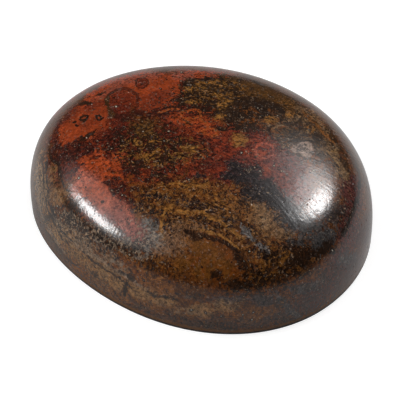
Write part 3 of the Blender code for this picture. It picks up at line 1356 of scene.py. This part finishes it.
DARKS = (
    Layer(
        "teal dark", (Tone.SLATE, Tone.SOOT),
        (
            Spot((236, 168), 8, 10, 10), Spot((252, 177), 11, 11, -10), Spot((262, 190), 15, 12, -25),
            Spot((277, 203), 15, 11, -30), Spot((222, 176), 14, 5), Spot((199, 177), 10, 4),
            Spot((240, 178), 10, 7), Spot((292, 214), 12, 8, -20),
        ),
        cover=0.74, grain=Grain.CLOUD, fray=0.7, soft=0.14, strength=0.95,
    ),
    Layer(
        "dark speckled band", (Tone.SOOT, Tone.SLATE),
        (
            Spot((160, 200), 18, 7, -10), Spot((190, 203), 22, 6, -8), Spot((215, 212), 16, 6, -20),
            Spot((235, 225), 16, 7, -38), Spot((253, 240), 16, 7, -45), Spot((146, 208), 12, 8, 0),
            Spot((206, 222), 18, 4, -15), Spot((160, 220), 12, 10), Spot((262, 250), 10, 5, -50),
        ),
        cover=0.6, fray=0.65, grit=0.45, soft=0.12, strength=0.92,
    ),
    Layer(
        "pores", (Tone.SOOT, Tone.UMBER),
        (
            Spot((195, 205), 46, 16, -8), Spot((235, 222), 34, 14, -38), Spot((150, 215), 22, 20),
            Spot((190, 190), 30, 8), Spot((150, 150), 28, 22), Spot((185, 150), 22, 14),
            Spot((215, 100), 34, 20), Spot((110, 245), 40, 9, -22), Spot((258, 238), 18, 8, -40),
        ),
        cover=0.33, grain=Grain.PORE, fray=0.5, soft=0.1, strength=0.92,
    ),
    Layer(
        "black bands", (Tone.SOOT, Tone.UMBER),
        (
            Spot((195, 205), 44, 17, -8), Spot((232, 222), 30, 14, -38), Spot((190, 188), 34, 6),
            Spot((150, 148), 26, 20), Spot((184, 150), 20, 12), Spot((208, 96), 30, 14),
            Spot((102, 240), 44, 9, -25), Spot((290, 128), 26, 14, -35), Spot((285, 262), 26, 18, 10),
        ),
        cover=0.38, grain=Grain.BAND, fray=-0.5, grit=0.35, soft=0.14, strength=0.8,
    ),
    Layer(
        "gold speckled band", (Tone.HONEY, Tone.GOLD),
        (
            Spot((190, 205), 30, 12, -8), Spot((225, 218), 26, 12, -30), Spot((190, 188), 26, 6),
            Spot((255, 236), 20, 10, -45), Spot((155, 215), 14, 12),
        ),
        cover=0.31, grain=Grain.LACE, fray=0.35, grit=0.45, soft=0.14, strength=0.8,
    ),
    Layer(
        "gold bands", (Tone.HONEY, Tone.GOLD),
        (
            Spot((195, 202), 42, 16, -8), Spot((238, 224), 34, 13, -38), Spot((192, 187), 32, 6),
            Spot((148, 152), 20, 10), Spot((184, 150), 16, 8), Spot((212, 90), 20, 9),
            Spot((266, 262), 14, 16, -20), Spot((102, 244), 40, 8, -25),
        ),
        cover=0.26, grain=Grain.BAND, fray=0.5, soft=0.12, strength=0.5,
    ),
    Layer(
        "blue curl", (Tone.ASH, Tone.STEEL),
        (Spot((154, 234), 6, 10, 8), Ring((140, 252), 7, 6, 0, band=0.25), Spot((146, 222), 5, 5)),
        cover=0.7, grain=Grain.FINE, fray=0.7, grit=0.5, blend=Grain.GRIT, strength=0.7,
    ),
    Layer(
        "blue chips", (Tone.STEEL, Tone.ASH),
        (Spot((244, 231), 7, 3, -40), Spot((262, 246), 7, 3, -40), Spot((251, 237), 5, 2, -40)),
        cover=0.6, grain=Grain.FINE, fray=0.9, grit=0.6, soft=0.14, blend=Grain.GRIT, strength=0.75,
    ),
    Layer(
        "arc shadow", (Tone.SOOT, Tone.UMBER),
        (
            Vein((
                (184, 231), (196, 235), (205, 236), (215, 240), (227, 245), (236, 252), (241, 260),
                (245, 268),
            ), 2.2),
            Spot((195, 237), 5, 3), Spot((216, 276), 6, 5), Spot((247, 276), 2.6, 7, 10),
            Spot((238, 262), 2.5, 9, 25),
        ),
        cover=0.8, fray=0.5, grit=0.35, soft=0.12,
    ),
    Layer(
        "light arcs", (Tone.HONEY, Tone.GOLD),
        (
            Vein(((172, 206), (165, 213), (161, 222), (160, 231), (163, 240)), 1.6),
            Vein((
                (177, 211), (190, 211), (199, 212), (207, 214), (212, 219), (220, 222), (230, 230),
                (240, 237),
            ), 1.7),
            Vein(((169, 184), (176, 181), (183, 184), (190, 187), (205, 187)), 1.5),
            Vein(((203, 231), (214, 234), (228, 240), (238, 247)), 1.2),
        ),
        cover=0.7, grain=Grain.FINE, grit=0.35, strength=0.8,
    ),
    Layer(
        "left seam", (Tone.SOOT, Tone.UMBER),
        (
            Vein(((50, 150), (52, 160), (59, 167), (61, 178), (65, 187), (71, 192)), 1.6),
            Vein(((49, 205), (55, 215), (61, 230), (70, 240)), 1.4),
            Vein(((47, 160), (46, 175), (49, 188), (47, 202)), 1.2), Spot((124, 290), 2.6, 7),
            Spot((130, 277), 3, 4),
        ),
        fray=0.5, grit=0.35, soft=0.12,
    ),
    Layer(
        "bed of the glints", (Tone.SOOT, Tone.UMBER),
        (
            Vein(((60, 215), (76, 223), (92, 229), (106, 237), (122, 244), (140, 249)), 7.0),
            Spot((146, 243), 9, 6), Spot((73, 209), 7, 8, 20),
        ),
        cover=0.7, grit=0.45, soft=0.12, strength=0.95,
    ),
    Layer(
        "glinting band", (Tone.ASH, Tone.BUFF),
        (
            Vein(((62, 219), (78, 226), (92, 231), (105, 240), (122, 246), (140, 250)), 6.5),
            Spot((150, 240), 10, 8), Spot((140, 252), 8, 6),
        ),
        cover=0.38, grain=Grain.FINE, grit=0.9, soft=0.1, blend=Grain.GRIT, strength=0.95,
    ),
    # Dark marks of the stone; the round spot at (332, 250) is also painted shade: the dark ring of a
    # pit round a painted glint.
    Layer(
        "eye and dashes", (Tone.SOOT, Tone.UMBER),
        (
            Ring((84, 118), 3.6, 2.3, 20, band=0.45), Spot((75, 122), 3.2, 1.5, 10),
            Spot((77, 126), 2.6, 1.2), Ring((99, 117), 2.2, 1.8, 0, band=0.5),
            Spot((85, 103.5), 6.5, 2.4, 0), Spot((100, 94), 6, 1.3, 25), Spot((90, 134), 7, 2.6, 32),
            Spot((83, 139), 5, 2.4, 20), Spot((332, 250), 4.2, 4.2), Spot((324, 246), 9, 4, 30),
        ),
        grain=Grain.FINE, fray=0.3, grit=0.25, soft=0.14, blend=Grain.CLOUD, strength=0.92,
    ),
    # Painted highlights: tiny white glints where pits in the polish catch the light.
    Layer(
        "white dots", (Tone.GLINT_WHITE, Tone.GLINT_WHITE),
        (
            Spot((332, 250), 0.8, 0.8), Spot((92, 105), 0.7, 0.6), Spot((87, 138), 0.7, 0.6),
            Spot((129, 92), 0.5, 0.5), Spot((252, 205), 0.5, 0.5), Spot((229, 213), 0.5, 0.5),
        ),
        fray=0.0, grit=0.0, blend=Grain.CLOUD, strength=0.8,
    ),
)

SPECKS = (
    # Partly dark grains of the stone, partly painted shade: the dark of the polish's pits round the
    # painted glints.
    Layer(
        "black specks", (Tone.SOOT, Tone.UMBER), cover=0.28, grain=Grain.SPECK, fray=0.7, grit=0.0,
        soft=0.14, blend=Grain.CLOUD,
    ),
    # Painted highlights: pale glints in the middle of some specks, where pits in the polish catch the
    # light.
    Layer(
        "pale specks", (Tone.GLINT_WHITE, Tone.BUFF), cover=0.25, grain=Grain.GLINT, fray=0.7, grit=0.0,
        soft=0.14, blend=Grain.CLOUD, strength=0.9,
    ),
)

LAYERS = (*GROUND, *HIDDEN, *REDS, *OCHRES, *DARKS, *SPECKS)

EVEN_ZONES = (
    Spot((112, 96), 44, 18, 28), Spot((84, 118), 26, 16, 42), Spot((150, 92), 34, 20),
    Spot((214, 262), 28, 23, -50), Spot((106, 200), 26, 12, -46), Spot((258, 92), 26, 12, -22),
    Spot((303, 149), 12, 9, 5),
)


@dataclass(frozen=True)
class Polish:
    """The polished skin's gloss: a sharp reflection from the polish and a broad one over it.

    Attributes:
        refraction: The stone's index of refraction.
        sharp: Specular level of the sharp reflection.
        smooth: Roughness where the polish is best.
        worn: Roughness where it is worst.
        broad: Weight of the broad reflection.
        broad_roughness: Its roughness.
        sawn: Roughness of the sawn base.
        relief: Height of the skin's fine relief, in metres.
    """

    refraction: float = 1.54
    sharp: float = 0.32
    smooth: float = 0.09
    worn: float = 0.22
    broad: float = 0.36
    broad_roughness: float = 0.27
    sawn: float = 0.6
    relief: float = 0.00003


def relief_group() -> bpy.types.NodeTree:
    """The polished skin's fine relief and how worn it is.

    Returns:
        A group with both, which takes a point in metres.
    """
    gives = {"Height": "Float", "Wear": "Float"}
    bench, taken, given = start_group("Polished skin", {"Point": "Vector"}, gives)
    point = bench.scale(taken["Point"], METRES_TO_MM)
    split = bench.lay("SeparateXYZ", {0: point}).outputs
    turn = bench.math("ARCTAN2", split["Y"], split["X"])
    out = bench.length(point)
    wheel = bench.lay("CombineXYZ", {
        "X": bench.math("MULTIPLY", turn, 15.0), "Y": bench.math("MULTIPLY", out, 0.12),
    }).outputs[0]
    marks = bench.noise(wheel, 0.34, 2.0, roughness=0.5).outputs["Fac"]
    marks = bench.math("MULTIPLY", marks, bench.step(out, 10.5, 14.0))
    peel = bench.noise(point, 0.42, 3.0, roughness=0.6).outputs["Fac"]
    dots = bench.cells(point, 0.4)
    limit = bench.lay("SeparateColor", {0: dots["Color"]}).outputs[1]
    limit = bench.math("MULTIPLY", bench.math("POWER", limit, 1.3), 0.4)
    pits = bench.step(bench.math("SUBTRACT", limit, dots["Distance"]), 0.0, 0.12)
    height = bench.math("MULTIPLY_ADD", marks, 0.5, bench.math("MULTIPLY", peel, 0.7))
    height = bench.math("MULTIPLY_ADD", pits, -1.3, height)
    wear = bench.spread(bench.noise(point, 3.5, 3.0).outputs["Fac"], 3.0)
    wear = bench.math("MULTIPLY_ADD", pits, 0.6, bench.math("MULTIPLY", wear, 0.6), clamp=True)
    bench.tree.links.new(height, given["Height"])
    bench.tree.links.new(wear, given["Wear"])
    return bench.tree


@dataclass
class Pattern:
    """The stone's pattern, painted layer by layer in one shader node group.

    Attributes:
        skin: The surface that the pattern's bodies are found on.
        warp_mm: How far slow noise bends the pattern.
        torn_mm: How far quick noise frays the bodies' edges.
        bent_mm: How far the lace and the pores are bent.
        uneven: How much each layer's tones may differ from their names' tones.
        tooth: How strongly the finest texture lightens and darkens the colours.
        even_tooth: The same in the even zones.
        even_level: The tooth's middle level.
        blotch: How strongly the mossy texture lightens and darkens them.
        shadow_rim_mm: Height of the painted contact shadow along the foot of the wall, next to the
            base.
        seam_mm: Height of the honey line above it.
        seam_strength: How much that line hides.
        ragged_mm: How ragged both are.
        sawn_mm: Height under which the stone is its sawn base.
        dust: How much the base's dust hides.
    """

    skin: Skin
    warp_mm: float = 0.5
    torn_mm: float = 0.26
    bent_mm: float = 0.28
    uneven: float = 0.05
    tooth: float = 1.5
    even_tooth: float = 0.9
    even_level: float = 0.97
    blotch: float = 0.5
    shadow_rim_mm: float = 0.34
    seam_mm: float = 0.75
    seam_strength: float = 0.75
    ragged_mm: float = 0.12
    sawn_mm: float = 0.01
    dust: float = 0.7

    def field(self, bench: Bench, point: Socket, parts: Sequence[Body]) -> Socket | None:
        """How far inside the nearest of some parts a point is.

        Args:
            bench: The group that the nodes go in.
            point: The point, in millimetres.
            parts: The parts.

        Returns:
            A field that is a half on the parts' skins, or None where there is no part.
        """
        best = None
        for part in parts:
            for box in part.boxes(self.skin):
                found = part.shaped(bench, bench.body(point, box))
                best = found if best is None else bench.math("MAXIMUM", best, found)
        return best

    def paint(self, bench: Bench, under: Any, point: Socket, grains: Any, layer: Layer) -> Socket:
        """Lay one layer over the colours under it.

        Args:
            bench: The group that the nodes go in.
            under: The colours under the layer.
            point: The point, in millimetres.
            grains: The outputs of the group of textures.
            layer: The layer.

        Returns:
            The colours with the layer on them.
        """
        field = self.field(bench, point, layer.parts)
        field = layer.cover if field is None else bench.math("MINIMUM", field, layer.cover)
        frayed = bench.math("SUBTRACT", grains[layer.grain.value], 0.5)
        frayed = bench.math("MULTIPLY_ADD", frayed, layer.fray, field)
        frayed = bench.math("MULTIPLY_ADD", grains["Gritty"], layer.grit, frayed)
        mask = bench.step(frayed, 0.5 - layer.soft, 0.5 + layer.soft)
        if layer.strength < 1.0:
            mask = bench.math("MULTIPLY", mask, layer.strength)
        draw = random.Random(layer.name)
        low, high = 1.0 - self.uneven, 1.0 + self.uneven
        tones = [tuple(part * draw.uniform(low, high) for part in tone.value) for tone in layer.tones]
        painted = bench.mix(mask, under, tones[0])
        return bench.mix(bench.math("MULTIPLY", mask, grains[layer.blend.value]), painted, tones[1])

    def build(self) -> bpy.types.NodeTree:
        """Make the group that gives the stone's colour at a point.

        Returns:
            The group, which also tells how much of the point is sawn.
        """
        gives = {"Colour": "Color", "Sawn": "Float"}
        bench, taken, given = start_group("Agate pattern", {"Point": "Vector"}, gives)
        point = bench.scale(taken["Point"], METRES_TO_MM)
        drifting = drift_group(self.warp_mm, self.torn_mm, self.bent_mm)
        drift = bench.lay("Group", {"Point": point}, node_tree=drifting).outputs
        inputs = {"Point": drift["Calm"], "Bent": drift["Bent"]}
        grains = bench.lay("Group", inputs, node_tree=grain_group()).outputs
        colour = bench.mix(grains["Cloud"], Tone.BROWN.value, Tone.RUST.value)
        for layer in LAYERS:
            colour = self.paint(bench, colour, drift["Torn"], grains, layer)
        even = bench.step(self.field(bench, drift["Torn"], EVEN_ZONES), 0.4, 0.6)
        bite = bench.math("MULTIPLY_ADD", even, self.even_tooth - self.tooth, self.tooth)
        tooth = bench.math("SUBTRACT", grains["Tooth"], 0.5)
        tooth = bench.math("MULTIPLY_ADD", tooth, bite, self.even_level)
        blotch = bench.math("SUBTRACT", grains["Moss"], 0.5)
        blotch = bench.math("MULTIPLY_ADD", blotch, self.blotch, 1.0)
        toned = bench.scale(colour, bench.math("MULTIPLY", tooth, blotch))
        height = bench.lay("SeparateXYZ", {0: point}).outputs["Z"]
        low = bench.math("MULTIPLY_ADD", grains["Gritty"], self.ragged_mm, height)
        seam = bench.math("SUBTRACT", 1.0, bench.step(low, self.seam_mm * 0.6, self.seam_mm))
        seam = bench.math("MULTIPLY", seam, self.seam_strength)
        # Painted contact shadow: the foot of the wall next to the base darkened to soot.
        edge = bench.math("SUBTRACT", 1.0, bench.step(low, self.shadow_rim_mm * 0.5, self.shadow_rim_mm))
        sawn = bench.math("LESS_THAN", height, self.sawn_mm)
        toned = bench.mix(seam, toned, Tone.HONEY.value)
        toned = bench.mix(edge, toned, Tone.SOOT.value)
        dust = bench.mix(grains["Moss"], Tone.TAN.value, Tone.STEEL.value)
        toned = bench.mix(bench.math("MULTIPLY", sawn, self.dust), toned, dust)
        bench.tree.links.new(toned, given["Colour"])
        # The band of the painted contact shadow is made matt too, like the sawn base.
        bench.tree.links.new(bench.math("MAXIMUM", sawn, edge), given["Sawn"])
        return bench.tree


def polished_material(pattern: bpy.types.NodeTree, polish: Polish) -> bpy.types.Material:
    """The polished skin.

    Args:
        pattern: The group that gives the stone's colours.
        polish: Its gloss.

    Returns:
        The material.
    """
    material = bpy.data.materials.new("polished_agate")
    material.use_nodes = True
    bench = Bench(material.node_tree)
    shader = material.node_tree.nodes["Principled BSDF"]
    point = bench.lay("TexCoord").outputs["Object"]
    look = bench.lay("Group", {"Point": point}, node_tree=pattern).outputs
    skin = bench.lay("Group", {"Point": point}, node_tree=relief_group()).outputs
    worn = bench.math("MULTIPLY_ADD", skin["Wear"], polish.worn - polish.smooth, polish.smooth)
    rough = bench.lay("Mix", {0: look["Sawn"], 2: worn, 3: polish.sawn}).outputs[0]
    coat = bench.math("MULTIPLY_ADD", look["Sawn"], -polish.broad, polish.broad)
    bump = bench.lay("Bump", {"Height": skin["Height"], "Distance": polish.relief}).outputs[0]
    bench.tree.links.new(look["Colour"], shader.inputs["Base Color"])
    bench.tree.links.new(rough, shader.inputs["Roughness"])
    bench.tree.links.new(coat, shader.inputs["Coat Weight"])
    bench.tree.links.new(bump, shader.inputs["Normal"])
    shader.inputs["IOR"].default_value = polish.refraction
    shader.inputs["Specular IOR Level"].default_value = polish.sharp
    shader.inputs["Coat Roughness"].default_value = polish.broad_roughness
    shader.inputs["Coat IOR"].default_value = polish.refraction
    return material


class Shows(Enum):
    """What a light is for."""

    SHINE = "seen in the polish"
    FILL = "lights the stone's colours"


@dataclass(frozen=True)
class Softbox:
    """A soft studio light.

    Attributes:
        name: Its name.
        around: Degrees round the stone from the lens, positive to the right.
        above: Degrees above the horizon.
        wide: Its breadth as seen from the stone, in degrees.
        tall: Its height, in degrees.
        radiance: How bright its face is, where the pale floor is about 1.
        shows: What it is for.
        distance: From the stone.
    """

    name: str
    around: float
    above: float
    wide: float
    tall: float
    radiance: float
    shows: Shows
    distance: float = 0.45

    def build(self, view: Viewpoint) -> None:
        """Make the light.

        Args:
            view: Where the photograph was taken from.
        """
        turn, rise = math.radians(self.around), math.radians(self.above)
        level = view.toward() * math.cos(turn) + view.right() * math.sin(turn)
        way = level * math.cos(rise) + Vector((0.0, 0.0, math.sin(rise)))
        data = bpy.data.lights.new(self.name, "AREA")
        data.shape = "ELLIPSE"
        data.size = 2 * self.distance * math.tan(math.radians(self.wide / 2))
        data.size_y = 2 * self.distance * math.tan(math.radians(self.tall / 2))
        data.energy = self.radiance * math.pi * data.size * data.size_y * math.pi / 4
        lamp = bpy.data.objects.new(self.name, data)
        lamp.location = way * self.distance
        lamp.rotation_euler = way.to_track_quat("Z", "Y").to_euler()
        lamp.visible_diffuse = self.shows is Shows.FILL
        lamp.visible_glossy = self.shows is Shows.SHINE
        bpy.context.scene.collection.objects.link(lamp)


SOFTBOXES = (
    Softbox("left_shine", -88, 25.5, 25, 11, 24, Shows.SHINE),
    Softbox("left_glow", -88, 38, 60, 46, 1.0, Shows.SHINE),
    Softbox("right_shine", 122, 44, 14, 14, 22, Shows.SHINE),
    Softbox("right_halo", 128, 45, 30, 25, 5, Shows.SHINE),
    Softbox("right_tail", 147, 43, 22, 10, 2.2, Shows.SHINE),
    Softbox("right_glow", 138, 43, 44, 30, 0.9, Shows.SHINE),
    Softbox("left_fill", -85, 35, 45, 45, 4, Shows.FILL),
    Softbox("right_fill", 130, 48, 45, 45, 3, Shows.FILL),
    Softbox("top_fill", 0, 80, 70, 70, 1.2, Shows.FILL),
)


@dataclass(frozen=True)
class Studio:
    """The pale floor, the lights and the room round the stone.

    Attributes:
        floor_radius: The round floor's radius.
        floor_grey: How light the floor's colour is.
        floor_glow: How much the floor glows where the lens sees it, which whitens it.
        backdrop: How light the room is where the lens sees it.
        room_grey: How light it is in the stone's reflections.
        pool_place: How far right of the stone a pool of light lies on the floor.
        pool_reach_mm: Its radius.
        pool_glow: How much it glows.
    """

    floor_radius: float = 3.0
    floor_grey: float = 0.42
    floor_glow: float = 0.72
    backdrop: float = 0.95
    room_grey: float = 0.01
    pool_place: float = 0.045
    pool_reach_mm: float = 30.0
    pool_glow: float = 0.26

    def build(self, view: Viewpoint) -> None:
        """Make the floor, the lights and the world.

        Args:
            view: Where the photograph was taken from.
        """
        bm = bmesh.new()
        bmesh.ops.create_circle(bm, cap_ends=True, segments=96, radius=self.floor_radius)
        mesh = bpy.data.meshes.new("floor")
        bm.to_mesh(mesh)
        bm.free()
        floor = bpy.data.objects.new("floor", mesh)
        mesh.materials.append(self.floor_material(view))
        bpy.context.scene.collection.objects.link(floor)
        for softbox in SOFTBOXES:
            softbox.build(view)
        world = bpy.data.worlds.new("studio")
        world.use_nodes = True
        bench = Bench(world.node_tree)
        seen = bench.lay("LightPath").outputs["Is Camera Ray"]
        grey = bench.math("MULTIPLY_ADD", seen, self.backdrop - self.room_grey, self.room_grey)
        background = world.node_tree.nodes["Background"]
        world.node_tree.links.new(grey, background.inputs["Color"])
        bpy.context.scene.world = world
        bpy.context.scene.view_settings.view_transform = "Standard"

    def floor_material(self, view: Viewpoint) -> bpy.types.Material:
        """A pale matt floor, lifted to white where the lens sees it.

        Args:
            view: Where the photograph was taken from.

        Returns:
            The material.
        """
        material = bpy.data.materials.new("pale_floor")
        material.use_nodes = True
        bench = Bench(material.node_tree)
        shader = material.node_tree.nodes["Principled BSDF"]
        shader.inputs["Base Color"].default_value = (self.floor_grey,) * 3 + (1.0,)
        shader.inputs["Roughness"].default_value = 0.9
        shader.inputs["Specular IOR Level"].default_value = 0.0
        shader.inputs["Emission Color"].default_value = (1.0, 1.0, 1.0, 1.0)
        seen = bench.lay("LightPath").outputs["Is Camera Ray"]
        pool = self.pool_place * METRES_TO_MM * view.right()
        size = (self.pool_reach_mm,) * 3
        point = bench.lay("TexCoord").outputs["Object"]
        point = bench.scale(point, METRES_TO_MM)
        lit = bench.body(point, Frame3(tuple(pool), (0.0, 0.0, 0.0), size))
        lit = bench.math("MULTIPLY", lit, self.pool_glow)
        glow = bench.lay("Mix", {0: seen, 2: lit, 3: self.floor_glow}).outputs[0]
        material.node_tree.links.new(glow, shader.inputs["Emission Strength"])
        return material


def main() -> None:
    """Build the stone, its studio and the camera."""
    logging.basicConfig(level=logging.INFO, format="%(message)s")
    view = Viewpoint()
    view.build()
    low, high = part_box("cabochon")
    stone = Cabochon(high.x - low.x, high.y - low.y, high.z - low.z).build()
    pattern = Pattern(Skin.of(stone, view)).build()
    stone.data.materials.append(polished_material(pattern, Polish()))
    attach(stone, "root")
    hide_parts("cabochon")
    log.info("%s: %d faces", stone.name, len(stone.data.polygons))
    Studio().build(view)


if __name__ == "__main__":
    main()
